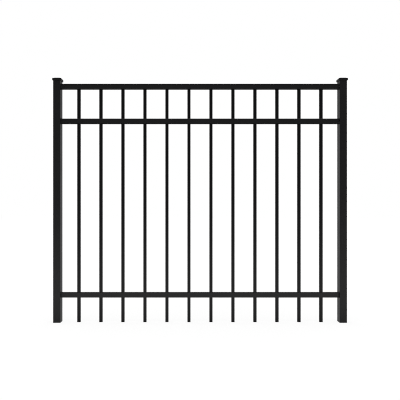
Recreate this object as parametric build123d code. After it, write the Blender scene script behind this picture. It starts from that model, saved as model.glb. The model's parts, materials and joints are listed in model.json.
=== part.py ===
from build123d import *
import math
import os

# A rigid gate leaf of aluminium extrusions: two capped uprights, three channel rails, a row of pickets.
# X runs from the hinge side to the latch side, Y from the front to the back, and Z up.
# The origin is on the hinge upright's outer face, at its foot, midway through its depth.

# Leaf, over the outer faces of its two uprights
leaf_width = 1473.2

# Uprights: rectangular tubes
upright_height = 1216.5
upright_width = 36.5
upright_depth = 50.8
upright_wall = 2.0
upright_corner_radius = 1.0

# Rails: channels with their open side down, whose ends pass into sockets in the uprights
rail_height = 25.4
rail_depth = 25.4
rail_top_wall = 1.6
rail_side_wall = 2.0
rail_corner_radius = 0.8
rail_end_gap = 15.0  # from a rail's end to the upright's outer wall
socket_clearance = 0.25

# Ribs along a rail's inner sides, which guide the pickets
rib_rise = 8.0  # from the rail's open edge to the rib's underside
rib_thickness = 1.6

# Places of the rails
top_rail_drop = 15.4  # from the uprights' top to the top rail's top
frieze_gap = 149.7  # clear height between the top and middle rails
bottom_rail_rise = 124.5  # from the feet to the bottom rail's underside

# Pickets: square tubes, with their feet level with the uprights' feet
picket_size = 15.875
picket_wall = 1.3
picket_corner_radius = 0.8
picket_gap = 95.25  # clear width between neighbours
picket_clearance = 0.25

# A punch is this many walls thick, so that it passes right through the wall it cuts
punch_walls = 3

# Caps: a lip that rests on the tube's end, a low crown, and a plug inside the tube
cap_overhang = 4.0
cap_lip_height = 10.5
cap_corner_radius = 2.0
cap_edge_radius = 1.0
cap_crown_rise = 3.4
cap_crown_margin = 2.5  # level border around the crown's foot
cap_crown_flat = 24.0  # width of the level patch at the crown's top
cap_top_wall = 3.0
cap_plug_wall = 2.0
cap_plug_clearance = 0.25
cap_plug_rail_gap = 4.0  # from the plug's end to the top rail below it

# Values that follow from those above
leaf_middle = leaf_width / 2
clear_width = leaf_width - 2 * upright_width
picket_pitch = picket_size + picket_gap
# as few pickets as leave no end gap wider than the gap between two of them
picket_count = math.ceil((clear_width - picket_size - 2 * picket_gap) / picket_pitch) + 1
picket_places = [
    leaf_middle + (i - (picket_count - 1) / 2) * picket_pitch for i in range(picket_count)
]
picket_hole = picket_size + 2 * picket_clearance

top_rail_z = upright_height - top_rail_drop - rail_height
middle_rail_z = top_rail_z - frieze_gap - rail_height
bottom_rail_z = bottom_rail_rise
rail_start = upright_wall + rail_end_gap
rail_length = leaf_width - 2 * rail_start
picket_length = top_rail_z + rail_height - rail_top_wall


def square_tube(width, depth, wall, corner_radius, length):
    outline = RectangleRounded(width, depth, corner_radius)
    bore = Rectangle(width - 2 * wall, depth - 2 * wall)
    return extrude(outline - bore, length)


def hinge_side_upright():
    tube = Pos(upright_width / 2, 0, 0) * square_tube(
        upright_width, upright_depth, upright_wall, upright_corner_radius, upright_height
    )
    socket = Box(
        punch_walls * upright_wall, rail_depth + 2 * socket_clearance, rail_height + 2 * socket_clearance
    )
    return tube - [
        Pos(upright_width - upright_wall / 2, 0, z + rail_height / 2) * socket
        for z in (bottom_rail_z, middle_rail_z, top_rail_z)
    ]


def rail_section():
    level = (Align.CENTER, Align.MIN)
    outline = Rectangle(rail_depth, rail_height, align=level)
    outline = fillet(outline.vertices().group_by(Axis.Y)[-1], rail_corner_radius)
    cavity_width = rail_depth - 2 * rail_side_wall
    channel = outline - Rectangle(cavity_width, rail_height - rail_top_wall, align=level)
    rib_depth = (cavity_width - picket_hole) / 2
    for side in (-1, 1):
        rib_place = side * (picket_hole + rib_depth) / 2
        channel += Pos(rib_place, rib_rise) * Rectangle(rib_depth, rib_thickness, align=level)
    return channel


def rail(underside, punched):
    bar = Pos(rail_start, 0, underside) * extrude(Plane.YZ * rail_section(), rail_length)
    if punched:
        punch = Box(picket_hole, picket_hole, punch_walls * rail_top_wall)
        web_z = underside + rail_height - rail_top_wall / 2
        bar -= [Pos(x, 0, web_z) * punch for x in picket_places]
    return bar


def picket(place):
    return Pos(place, 0, 0) * square_tube(
        picket_size, picket_size, picket_wall, picket_corner_radius, picket_length
    )


def cap():
    lip_width = upright_width + 2 * cap_overhang
    lip_depth = upright_depth + 2 * cap_overhang
    lip = extrude(RectangleRounded(lip_width, lip_depth, cap_corner_radius), cap_lip_height)
    rims = lip.edges().group_by(Axis.Z)
    lip = fillet(rims[0] + rims[-1], cap_edge_radius)

    crown_foot = Rectangle(lip_width - 2 * cap_crown_margin, lip_depth - 2 * cap_crown_margin)
    crown_top = Rectangle(cap_crown_flat, cap_crown_flat + lip_depth - lip_width)
    crown = Pos(0, 0, cap_lip_height) * loft([crown_foot, Pos(0, 0, cap_crown_rise) * crown_top])

    plug_width = upright_width - 2 * upright_wall - 2 * cap_plug_clearance
    plug_depth = upright_depth - 2 * upright_wall - 2 * cap_plug_clearance
    plug_length = top_rail_drop - cap_plug_rail_gap
    plug = Pos(0, 0, -plug_length) * extrude(Rectangle(plug_width, plug_depth), plug_length)
    hollow = Rectangle(plug_width - 2 * cap_plug_wall, plug_depth - 2 * cap_plug_wall)
    hollow_height = plug_length + cap_lip_height - cap_top_wall
    return lip + crown + plug - Pos(0, 0, -plug_length) * extrude(hollow, hollow_height)


hinge_upright = hinge_side_upright()
latch_middle = leaf_width - upright_width / 2
nodes = {
    "hinge_upright": hinge_upright,
    "latch_upright": mirror(hinge_upright, about=Plane.YZ.offset(leaf_middle)),
    "hinge_upright_cap": Pos(upright_width / 2, 0, upright_height) * cap(),
    "latch_upright_cap": Pos(latch_middle, 0, upright_height) * cap(),
    "bottom_rail": rail(bottom_rail_z, punched=True),
    "middle_rail": rail(middle_rail_z, punched=True),
    "top_rail": rail(top_rail_z, punched=False),
}
for number, place in enumerate(picket_places, start=1):
    nodes[f"picket_{number:02d}"] = picket(place)

os.makedirs("parts", exist_ok=True)
for name, shape in nodes.items():
    export_step(shape, f"parts/{name}.step")
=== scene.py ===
import json
import math

import bmesh
import bpy
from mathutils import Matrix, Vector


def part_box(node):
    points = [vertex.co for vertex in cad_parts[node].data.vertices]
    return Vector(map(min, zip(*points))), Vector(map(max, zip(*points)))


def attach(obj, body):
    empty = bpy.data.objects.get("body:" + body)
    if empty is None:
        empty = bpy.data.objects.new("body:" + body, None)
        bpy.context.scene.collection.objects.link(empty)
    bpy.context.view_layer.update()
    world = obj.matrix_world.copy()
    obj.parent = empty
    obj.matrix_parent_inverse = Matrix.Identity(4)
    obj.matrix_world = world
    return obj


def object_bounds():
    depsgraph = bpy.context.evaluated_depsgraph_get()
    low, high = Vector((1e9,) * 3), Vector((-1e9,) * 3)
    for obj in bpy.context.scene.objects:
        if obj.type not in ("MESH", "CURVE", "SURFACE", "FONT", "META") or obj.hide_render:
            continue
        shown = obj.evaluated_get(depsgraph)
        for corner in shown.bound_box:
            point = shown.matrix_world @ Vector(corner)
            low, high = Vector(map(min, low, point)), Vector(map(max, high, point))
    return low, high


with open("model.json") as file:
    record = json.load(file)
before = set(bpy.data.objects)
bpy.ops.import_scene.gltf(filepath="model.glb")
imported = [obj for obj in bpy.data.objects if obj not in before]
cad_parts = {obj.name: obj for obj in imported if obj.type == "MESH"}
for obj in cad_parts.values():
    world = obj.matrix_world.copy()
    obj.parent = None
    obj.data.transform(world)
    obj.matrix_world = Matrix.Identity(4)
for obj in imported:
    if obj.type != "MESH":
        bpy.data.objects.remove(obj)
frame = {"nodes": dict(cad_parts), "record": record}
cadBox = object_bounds()
cadNodes = frame["nodes"]
mm = 0.001  # Blender's unit here is the metre
print("frame loaded:", len(cadNodes), "CAD nodes")

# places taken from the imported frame
railNames = ["bottom_rail", "middle_rail", "top_rail"]
picketNames = sorted(name for name in cadNodes if name.startswith("picket_"))
picketPlaces = [(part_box(name)[0].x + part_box(name)[1].x) / 2 for name in picketNames]
picketPitch = (picketPlaces[-1] - picketPlaces[0]) / (len(picketPlaces) - 1)
leafMiddle = (cadBox[0].x + cadBox[1].x) / 2
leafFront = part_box("hinge_upright")[0].y
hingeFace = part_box("hinge_upright")[1].x  # the uprights' inner faces, which the rails run into
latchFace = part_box("latch_upright")[0].x


def addNode(tree, kind, inputs=None, **settings):  # one node, its settings, and its sockets' values or links
    node = tree.nodes.new(kind)
    for name, value in settings.items():
        setattr(node, name, value)
    for socket, value in (inputs or {}).items():
        if isinstance(value, bpy.types.NodeSocket):
            tree.links.new(value, node.inputs[socket])
        else:
            node.inputs[socket].default_value = value
    return node


def hexToLinear(code):  # sRGB hex to the linear colour that shaders take
    parts = [int(code[i:i + 2], 16) / 255 for i in (1, 3, 5)]
    return tuple(c / 12.92 if c <= 0.04045 else ((c + 0.055) / 1.055) ** 2.4 for c in parts) + (1.0,)


def newMaterial(name):  # with an empty tree
    material = bpy.data.materials.new(name)
    material.use_nodes = True
    material.node_tree.nodes.clear()
    return material


def newObject(name, data):
    thing = bpy.data.objects.new(name, data)
    bpy.context.scene.collection.objects.link(thing)
    return thing


# coats: polyester powder, sprayed and baked on aluminium. It levels out to a satin film with a fine
# orange peel, so the eye sees a soft black whose dull sheen grows at a low angle.
powder = {  # what these coats share
    "ior": 1.5, "driftSize": 90 * mm, "glossSpread": 0.03, "dieLength": 400 * mm,
}
coatLooks = {
    "upright_coat": {
        **powder, "name": "satinBlackPowderCoat.upright", "colour": "#181819", "thin": "#1b1b1c",
        "roughness": 0.30, "peel": 2.2 * mm, "peelDepth": 0.11 * mm,
        "dieLines": 3.0 * mm, "dieDepth": 0.03 * mm, "along": "Z",
    },
    "rail_coat": {
        **powder, "name": "satinBlackPowderCoat.rail", "colour": "#181819", "thin": "#1b1b1c",
        "roughness": 0.30, "peel": 2.0 * mm, "peelDepth": 0.10 * mm,
        "dieLines": 2.4 * mm, "dieDepth": 0.03 * mm, "along": "X",
    },
    "picket_coat": {
        **powder, "name": "satinBlackPowderCoat.picket", "colour": "#0b0b0c", "thin": "#0e0e0f",
        "roughness": 0.30, "peel": 1.8 * mm, "peelDepth": 0.09 * mm,
        "dieLines": 1.8 * mm, "dieDepth": 0.02 * mm, "along": "Z",
    },
    "cap_coat": {  # a casting, so it has no die lines
        **powder, "name": "satinBlackPowderCoat.castCap", "colour": "#141415", "thin": "#171718",
        "roughness": 0.34, "peel": 1.2 * mm, "peelDepth": 0.06 * mm,
    },
}


def makeCoat(look):
    material = newMaterial(look["name"])
    tree = material.node_tree
    place = addNode(tree, "ShaderNodeTexCoord").outputs["Object"]

    # the film's thickness drifts, and the black is a touch paler where it is thin
    drift = addNode(tree, "ShaderNodeTexNoise", {
        "Vector": place, "Scale": 1 / look["driftSize"], "Detail": 3.0, "Roughness": 0.55})
    colour = addNode(tree, "ShaderNodeMix", {
        "Factor": drift.outputs["Fac"], "A": hexToLinear(look["colour"]), "B": hexToLinear(look["thin"]),
    }, data_type="RGBA")
    gloss = addNode(tree, "ShaderNodeMapRange", {
        "Value": drift.outputs["Fac"], "From Min": 0.3, "From Max": 0.7,  # where most of the noise lies
        "To Min": look["roughness"] - look["glossSpread"], "To Max": look["roughness"] + look["glossSpread"]})

    # orange peel
    relief = {}
    if "peel" in look:
        peel = addNode(tree, "ShaderNodeTexNoise", {
            "Vector": place, "Scale": 1 / look["peel"], "Detail": 2.0, "Roughness": 0.5})
        bump = addNode(tree, "ShaderNodeBump", {
            "Height": peel.outputs["Fac"], "Strength": 1.0, "Distance": look["peelDepth"]})
        relief = {"Normal": bump.outputs["Normal"]}

    # faint lines that the extrusion die leaves along the bar under the coat, drawn coarser so that they show
    if "dieLines" in look:
        across, length = 1 / look["dieLines"], 1 / look["dieLength"]
        scale = [length if axis == look["along"] else across for axis in "XYZ"]
        drawn = addNode(tree, "ShaderNodeMapping", {"Vector": place, "Scale": scale})
        lines = addNode(tree, "ShaderNodeTexNoise", {
            "Vector": drawn.outputs["Vector"], "Scale": 1.0, "Detail": 2.0})
        bump = addNode(tree, "ShaderNodeBump", {
            "Height": lines.outputs["Fac"], "Strength": 1.0, "Distance": look["dieDepth"], **relief})
        relief = {"Normal": bump.outputs["Normal"]}

    shader = addNode(tree, "ShaderNodeBsdfPrincipled", {
        "Base Color": colour.outputs["Result"], "Roughness": gloss.outputs["Result"], "IOR": look["ior"],
        **relief})
    addNode(tree, "ShaderNodeOutputMaterial", {"Surface": shader.outputs["BSDF"]})
    return material


coats = {slotName: makeCoat(look) for slotName, look in coatLooks.items()}
for part in frame["record"]["subparts"]:
    node = cadNodes[part["node"]]
    node.data.materials.clear()
    node.data.materials.append(coats[part["material_slot"]])


def startTree(name, sockets):  # a geometry tree with named inputs, a mesh in and a mesh out
    tree = bpy.data.node_groups.new(name, "GeometryNodeTree")
    tree.interface.new_socket("Mesh", in_out="INPUT", socket_type="NodeSocketGeometry")
    for socketName, kind in sockets.items():
        tree.interface.new_socket(socketName, in_out="INPUT", socket_type=kind)
    tree.interface.new_socket("Mesh", in_out="OUTPUT", socket_type="NodeSocketGeometry")
    return tree, addNode(tree, "NodeGroupInput").outputs


def endTree(tree, geometry, coat):  # plain geometry with its material, as the export needs
    real = addNode(tree, "GeometryNodeRealizeInstances", {"Geometry": geometry})
    dressed = addNode(tree, "GeometryNodeSetMaterial", {
        "Geometry": real.outputs["Geometry"], "Material": coat})
    addNode(tree, "NodeGroupOutput", {"Mesh": dressed.outputs["Geometry"]})
    return tree


def growPiece(name, startMesh, tree, values):  # runs a tree on a mesh and keeps the plain result
    piece = newObject(name, startMesh)
    grow = piece.modifiers.new(name, "NODES")
    grow.node_group = tree
    for item in tree.interface.items_tree:
        if item.in_out == "INPUT" and item.name in values:
            grow[item.identifier] = values[item.name]
    depsgraph = bpy.context.evaluated_depsgraph_get()
    grown = bpy.data.meshes.new_from_object(piece.evaluated_get(depsgraph), depsgraph=depsgraph)
    piece.modifiers.clear()
    piece.data = grown
    grown.name = name
    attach(piece, "root")


# picket screws: enamelled pan heads with a square drive, one on the back of each rail at each picket.
# Baked enamel on a pressed head is smoother than the powder, so it shows a small bright spot.
screwLook = {
    "headWidth": 8.0 * mm, "headHeight": 2.4 * mm, "driveWidth": 3.0 * mm, "driveDepth": 1.3 * mm,
    "segments": 24, "seed": 5, "sharpAngle": 35,  # in degrees: past it an edge stays sharp
    # the head's profile from just under the rail's face up, in shares of its radius and its height
    "rings": [(1.0, -0.08), (1.0, 0.34), (0.95, 0.58), (0.84, 0.80), (0.66, 0.95), (0.50, 1.0)],
}
enamelLook = {
    "name": "bakedBlackEnamel.screwHead", "colour": "#151517", "thin": "#202023", "driftSize": 5 * mm,
    "ior": 1.52, "roughness": 0.26, "glossSpread": 0.05,
}


def makeScrewHead(look):  # a head about the Y axis, turned from rings, with the square drive as the last two
    radius, height, count = look["headWidth"] / 2, look["headHeight"], look["segments"]
    angles = [math.tau * i / count for i in range(count)]
    square = [look["driveWidth"] / 2 / max(abs(math.cos(a)), abs(math.sin(a))) for a in angles]
    loops = [(rise * height, [share * radius] * count) for share, rise in look["rings"]]
    loops += [(height, square), (height - look["driveDepth"], square)]

    shape = bmesh.new()
    rings = []
    for rise, reaches in loops:
        places = [(reach * math.cos(a), rise, reach * math.sin(a)) for reach, a in zip(reaches, angles)]
        rings.append([shape.verts.new(place) for place in places])
    for lower, upper in zip(rings, rings[1:]):
        for i in range(count):
            j = (i + 1) % count
            shape.faces.new((lower[i], lower[j], upper[j], upper[i]))
    shape.faces.new(rings[0])
    shape.faces.new(rings[-1])

    bmesh.ops.recalc_face_normals(shape, faces=shape.faces)
    for face in shape.faces:
        face.smooth = True
    for edge in shape.edges:
        edge.smooth = edge.calc_face_angle() < math.radians(look["sharpAngle"])
    mesh = bpy.data.meshes.new("screwHead")
    shape.to_mesh(mesh)
    shape.free()
    return mesh


def makeScrewRow():  # heads in a row along X, each turned by chance as it was driven
    tree, given = startTree("screwRow", {
        "First": "NodeSocketVector", "Pitch": "NodeSocketFloat", "Count": "NodeSocketInt",
        "Seed": "NodeSocketInt", "Enamel": "NodeSocketMaterial"})
    step = addNode(tree, "ShaderNodeCombineXYZ", {"X": given["Pitch"]})
    row = addNode(tree, "GeometryNodeMeshLine", {
        "Count": given["Count"], "Start Location": given["First"], "Offset": step.outputs["Vector"],
    }, mode="OFFSET")
    turn = addNode(tree, "FunctionNodeRandomValue", {  # sockets 2 and 3 are its least and greatest float
        "Seed": given["Seed"], 2: 0.0, 3: math.tau}, data_type="FLOAT")
    spin = addNode(tree, "ShaderNodeCombineXYZ", {"Y": turn.outputs[1]})
    driven = addNode(tree, "FunctionNodeEulerToRotation", {"Euler": spin.outputs["Vector"]})
    heads = addNode(tree, "GeometryNodeInstanceOnPoints", {
        "Points": row.outputs["Mesh"], "Instance": given["Mesh"], "Rotation": driven.outputs["Rotation"]})
    return endTree(tree, heads.outputs["Instances"], given["Enamel"])


screwRow = makeScrewRow()
screwEnamel = makeCoat(enamelLook)
for number, railName in enumerate(railNames):
    low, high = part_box(railName)
    growPiece(railName.split("_")[0] + "RailScrews", makeScrewHead(screwLook), screwRow, {
        "First": (picketPlaces[0], high.y, (low.z + high.z) / 2), "Pitch": picketPitch,
        "Count": len(picketPlaces), "Seed": screwLook["seed"] + number, "Enamel": screwEnamel})
print("picket screws on", len(railNames), "rails")

# weld beads: each rail's end is welded to the upright along its front, top and back, and coated with it
weldLook = {
    "width": 3.8 * mm, "standOff": 0.3 * mm, "endGap": 1.5 * mm, "cornerRadius": 1.6 * mm,
    "ripplePitch": 1.9 * mm, "rippleShare": 0.14, "wanderPitch": 7.0 * mm, "wanderShare": 0.2,
    "dipShare": 0.92,  # of the width, in the dip between two ripples
    "ringsPerRipple": 8, "sides": 12, "cornerSteps": 6,
}
weldCoatLook = {  # the same powder, with no peel or die lines on the ripples
    **powder, "name": "satinBlackPowderCoat.weld", "colour": "#181819", "thin": "#1b1b1c", "roughness": 0.30,
}


def makeWeldBead(look):  # a rippled bead along each run of edges
    tree, given = startTree("weldBead", {
        "Bead Radius": "NodeSocketFloat", "Corner Radius": "NodeSocketFloat",
        "Ripple Pitch": "NodeSocketFloat", "Ripple Share": "NodeSocketFloat",
        "Wander Pitch": "NodeSocketFloat", "Wander Share": "NodeSocketFloat", "Coat": "NodeSocketMaterial"})
    seam = addNode(tree, "GeometryNodeMeshToCurve", {"Mesh": given["Mesh"]})
    rounded = addNode(tree, "GeometryNodeFilletCurve", {
        "Curve": seam.outputs["Curve"], "Radius": given["Corner Radius"], "Count": look["cornerSteps"],
    }, mode="POLY")
    fine = addNode(tree, "ShaderNodeMath", {
        0: given["Ripple Pitch"], 1: 1 / look["ringsPerRipple"]}, operation="MULTIPLY")
    spaced = addNode(tree, "GeometryNodeResampleCurve", {
        "Curve": rounded.outputs["Curve"], "Length": fine.outputs[0]}, mode="LENGTH")

    # ripples swell along the bead, one for each dip of the rod
    along = addNode(tree, "GeometryNodeSplineParameter").outputs["Length"]
    turns = addNode(tree, "ShaderNodeMath", {0: along, 1: given["Ripple Pitch"]}, operation="DIVIDE")
    phase = addNode(tree, "ShaderNodeMath", {0: turns.outputs[0], 1: math.pi}, operation="MULTIPLY")
    wave = addNode(tree, "ShaderNodeMath", {0: phase.outputs[0]}, operation="SINE")
    swell = addNode(tree, "ShaderNodeMath", {0: wave.outputs[0]}, operation="ABSOLUTE")

    # an unsteady hand widens and narrows it
    spread = addNode(tree, "ShaderNodeMath", {0: 1.0, 1: given["Wander Pitch"]}, operation="DIVIDE")
    wander = addNode(tree, "ShaderNodeTexNoise", {"Scale": spread.outputs[0], "Detail": 1.0})
    centred = addNode(tree, "ShaderNodeMath", {0: wander.outputs["Fac"], 1: 0.5}, operation="SUBTRACT")
    dip = addNode(tree, "ShaderNodeMath", {
        0: centred.outputs[0], 1: given["Wander Share"], 2: look["dipShare"]}, operation="MULTIPLY_ADD")
    share = addNode(tree, "ShaderNodeMath", {
        0: swell.outputs[0], 1: given["Ripple Share"], 2: dip.outputs[0]}, operation="MULTIPLY_ADD")
    size = addNode(tree, "ShaderNodeMath", {
        0: share.outputs[0], 1: given["Bead Radius"]}, operation="MULTIPLY")

    ring = addNode(tree, "GeometryNodeCurvePrimitiveCircle", {"Resolution": look["sides"], "Radius": 1.0})
    bead = addNode(tree, "GeometryNodeCurveToMesh", {
        "Curve": spaced.outputs["Curve"], "Profile Curve": ring.outputs["Curve"], "Scale": size.outputs[0],
        "Fill Caps": True})
    smooth = addNode(tree, "GeometryNodeSetShadeSmooth", {"Geometry": bead.outputs["Mesh"]})
    return endTree(tree, smooth.outputs["Geometry"], given["Coat"])


def makeSeams(look, railName):  # where the beads run: up the front of each end, over the top, down the back
    low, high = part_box(railName)
    out, foot = look["standOff"], low.z + look["endGap"]
    points, edges = [], []
    for x in (hingeFace + out, latchFace - out):
        first = len(points)
        points += [
            (x, low.y - out, foot), (x, low.y - out, high.z + out),
            (x, high.y + out, high.z + out), (x, high.y + out, foot)]
        edges += [(first, first + 1), (first + 1, first + 2), (first + 2, first + 3)]
    seams = bpy.data.meshes.new("weldSeams")
    seams.from_pydata(points, edges, [])
    return seams


weldBead = makeWeldBead(weldLook)
weldCoat = makeCoat(weldCoatLook)
for railName in railNames:
    growPiece(railName.split("_")[0] + "RailWelds", makeSeams(weldLook, railName), weldBead, {
        "Bead Radius": weldLook["width"] / 2, "Corner Radius": weldLook["cornerRadius"],
        "Ripple Pitch": weldLook["ripplePitch"], "Ripple Share": weldLook["rippleShare"],
        "Wander Pitch": weldLook["wanderPitch"], "Wander Share": weldLook["wanderShare"],
        "Coat": weldCoat})
print("weld beads at both ends of", len(railNames), "rails")

# camera: square on to the leaf, a little left of its middle and just below half height
cameraView = {
    "aside": 671.8 * mm, "height": 575.6 * mm, "distance": 2950 * mm,  # from the uprights' front faces
    "lens": 52.976, "sensor": 36, "shiftX": 0.0322, "shiftY": 0.02,
    "pixelFilter": 1.0,  # in pixels: narrow, so that bars three pixels wide stay crisp
}
cameraData = bpy.data.cameras.new("camera")
cameraData.lens = cameraView["lens"]
cameraData.sensor_width = cameraView["sensor"]
cameraData.shift_x = cameraView["shiftX"]
cameraData.shift_y = cameraView["shiftY"]
camera = newObject("camera", cameraData)
camera.location = (cameraView["aside"], leafFront - cameraView["distance"], cameraView["height"])
camera.rotation_euler = (math.radians(90), 0, 0)
bpy.context.scene.camera = camera
bpy.context.scene.cycles.filter_width = cameraView["pixelFilter"]


def byRay(tree, seen, mirrored, plain):  # a value for what the camera sees, for gloss, and for light
    ray = addNode(tree, "ShaderNodeLightPath").outputs
    gloss = addNode(tree, "ShaderNodeMix", {"Factor": ray["Is Glossy Ray"], "A": plain, "B": mirrored})
    direct = addNode(tree, "ShaderNodeMath", {
        0: ray["Is Camera Ray"], 1: ray["Is Transmission Ray"]}, operation="MAXIMUM")
    return addNode(tree, "ShaderNodeMix", {
        "Factor": direct.outputs[0], "A": gloss.outputs["Result"], "B": seen}).outputs["Result"]


# studio room: white all round. It lights the leaf evenly, and its sheen is what the coats mirror: dimmer
# in front and above.
roomLook = {
    "seen": 1.0, "light": 0.8, "sheen": 0.3,
    "frontShare": 0.225, "frontFrom": -0.6, "frontTo": 0.0,  # by the direction's Y
    "upperShare": 0.6, "upperFrom": 0.06, "upperTo": 0.3,  # by the direction's Z
}


def makeRoom(look):
    room = bpy.data.worlds.new("whiteRoom")
    room.use_nodes = True
    room.cycles.sampling_method = "NONE"  # rays find the room by themselves, so each kind sees its own level
    tree = room.node_tree
    tree.nodes.clear()
    direction = addNode(tree, "ShaderNodeTexCoord").outputs["Generated"]
    toward = addNode(tree, "ShaderNodeSeparateXYZ", {0: direction}).outputs
    front = addNode(tree, "ShaderNodeMapRange", {
        "Value": toward["Y"], "From Min": look["frontFrom"], "From Max": look["frontTo"],
        "To Min": look["frontShare"] * look["sheen"], "To Max": look["sheen"],
    }, interpolation_type="SMOOTHSTEP")
    upper = addNode(tree, "ShaderNodeMapRange", {
        "Value": toward["Z"], "From Min": look["upperFrom"], "From Max": look["upperTo"],
        "To Min": 1.0, "To Max": look["upperShare"]}, interpolation_type="SMOOTHSTEP")
    mirrored = addNode(tree, "ShaderNodeMath", {
        0: front.outputs["Result"], 1: upper.outputs["Result"]}, operation="MULTIPLY")
    level = byRay(tree, look["seen"], mirrored.outputs[0], look["light"])
    glow = addNode(tree, "ShaderNodeBackground", {"Color": (1, 1, 1, 1), "Strength": level})
    addNode(tree, "ShaderNodeOutputWorld", {"Surface": glow.outputs["Background"]})
    return room


bpy.context.scene.world = makeRoom(roomLook)

# studio floor: white paper that ends some way in front. It glows to white where it is unshadowed, a little
# more further out, where the lamp lights it less, so only a faint shade shows at the feet.
floorLook = {
    "width": 40.0, "front": 4.1, "back": 30.0, "drop": 0.5 * mm, "colour": "#f6f6f6",
    "glowShare": 0.85, "nearWhite": 1.012, "nearOut": 0.5, "farWhite": 1.06, "farOut": 4.0,
    "sheen": 0.3, "frontSheen": 0.55, "frontOut": 0.5,
}


def makePaper(look):
    material = newMaterial("whitePaperFloor")
    tree = material.node_tree
    spot = addNode(tree, "ShaderNodeTexCoord").outputs["Object"]
    depth = addNode(tree, "ShaderNodeSeparateXYZ", {0: spot}).outputs["Y"]
    sheen = addNode(tree, "ShaderNodeMapRange", {
        "Value": depth, "From Min": -look["frontOut"], "From Max": 0.0,
        "To Min": look["frontSheen"], "To Max": look["sheen"]})
    away = addNode(tree, "ShaderNodeVectorMath", {0: spot}, operation="LENGTH")
    white = addNode(tree, "ShaderNodeMapRange", {
        "Value": away.outputs["Value"], "From Min": look["nearOut"], "From Max": look["farOut"],
        "To Min": look["nearWhite"], "To Max": look["farWhite"]})
    share = byRay(tree, look["glowShare"], 1.0, 0.0)
    strength = byRay(tree, white.outputs["Result"], sheen.outputs["Result"], 0.0)
    matt = addNode(tree, "ShaderNodeBsdfDiffuse", {"Color": hexToLinear(look["colour"])})
    lit = addNode(tree, "ShaderNodeEmission", {"Color": (1, 1, 1, 1), "Strength": strength})
    both = addNode(tree, "ShaderNodeMixShader", {0: share, 1: matt.outputs[0], 2: lit.outputs[0]})
    below = addNode(tree, "ShaderNodeNewGeometry").outputs["Backfacing"]  # clear, to show the open feet
    clear = addNode(tree, "ShaderNodeBsdfTransparent")
    oneSided = addNode(tree, "ShaderNodeMixShader", {0: below, 1: both.outputs[0], 2: clear.outputs[0]})
    addNode(tree, "ShaderNodeOutputMaterial", {"Surface": oneSided.outputs[0]})
    return material


side, near, far = floorLook["width"] / 2, -floorLook["front"], floorLook["back"]
corners = [(-side, near, 0), (side, near, 0), (side, far, 0), (-side, far, 0)]
floorMesh = bpy.data.meshes.new("floor")
floorMesh.from_pydata(corners, [], [(0, 1, 2, 3)])
floorMesh.materials.append(makePaper(floorLook))
floor = newObject("floor", floorMesh)
floor.location = (leafMiddle, 0, cadBox[0].z - floorLook["drop"])

# studio lamp: a wide soft disk overhead, just in front of the leaf
lampLook = {"power": 80, "size": 4.0, "height": 4.5, "forward": 0.3}
lampData = bpy.data.lights.new("softLamp", "AREA")
lampData.shape = "DISK"
lampData.size = lampLook["size"]
lampData.energy = lampLook["power"]
lamp = newObject("softLamp", lampData)
lamp.location = (leafMiddle, -lampLook["forward"], lampLook["height"])
bpy.context.scene.view_settings.view_transform = "Standard"
print("camera and studio ready")
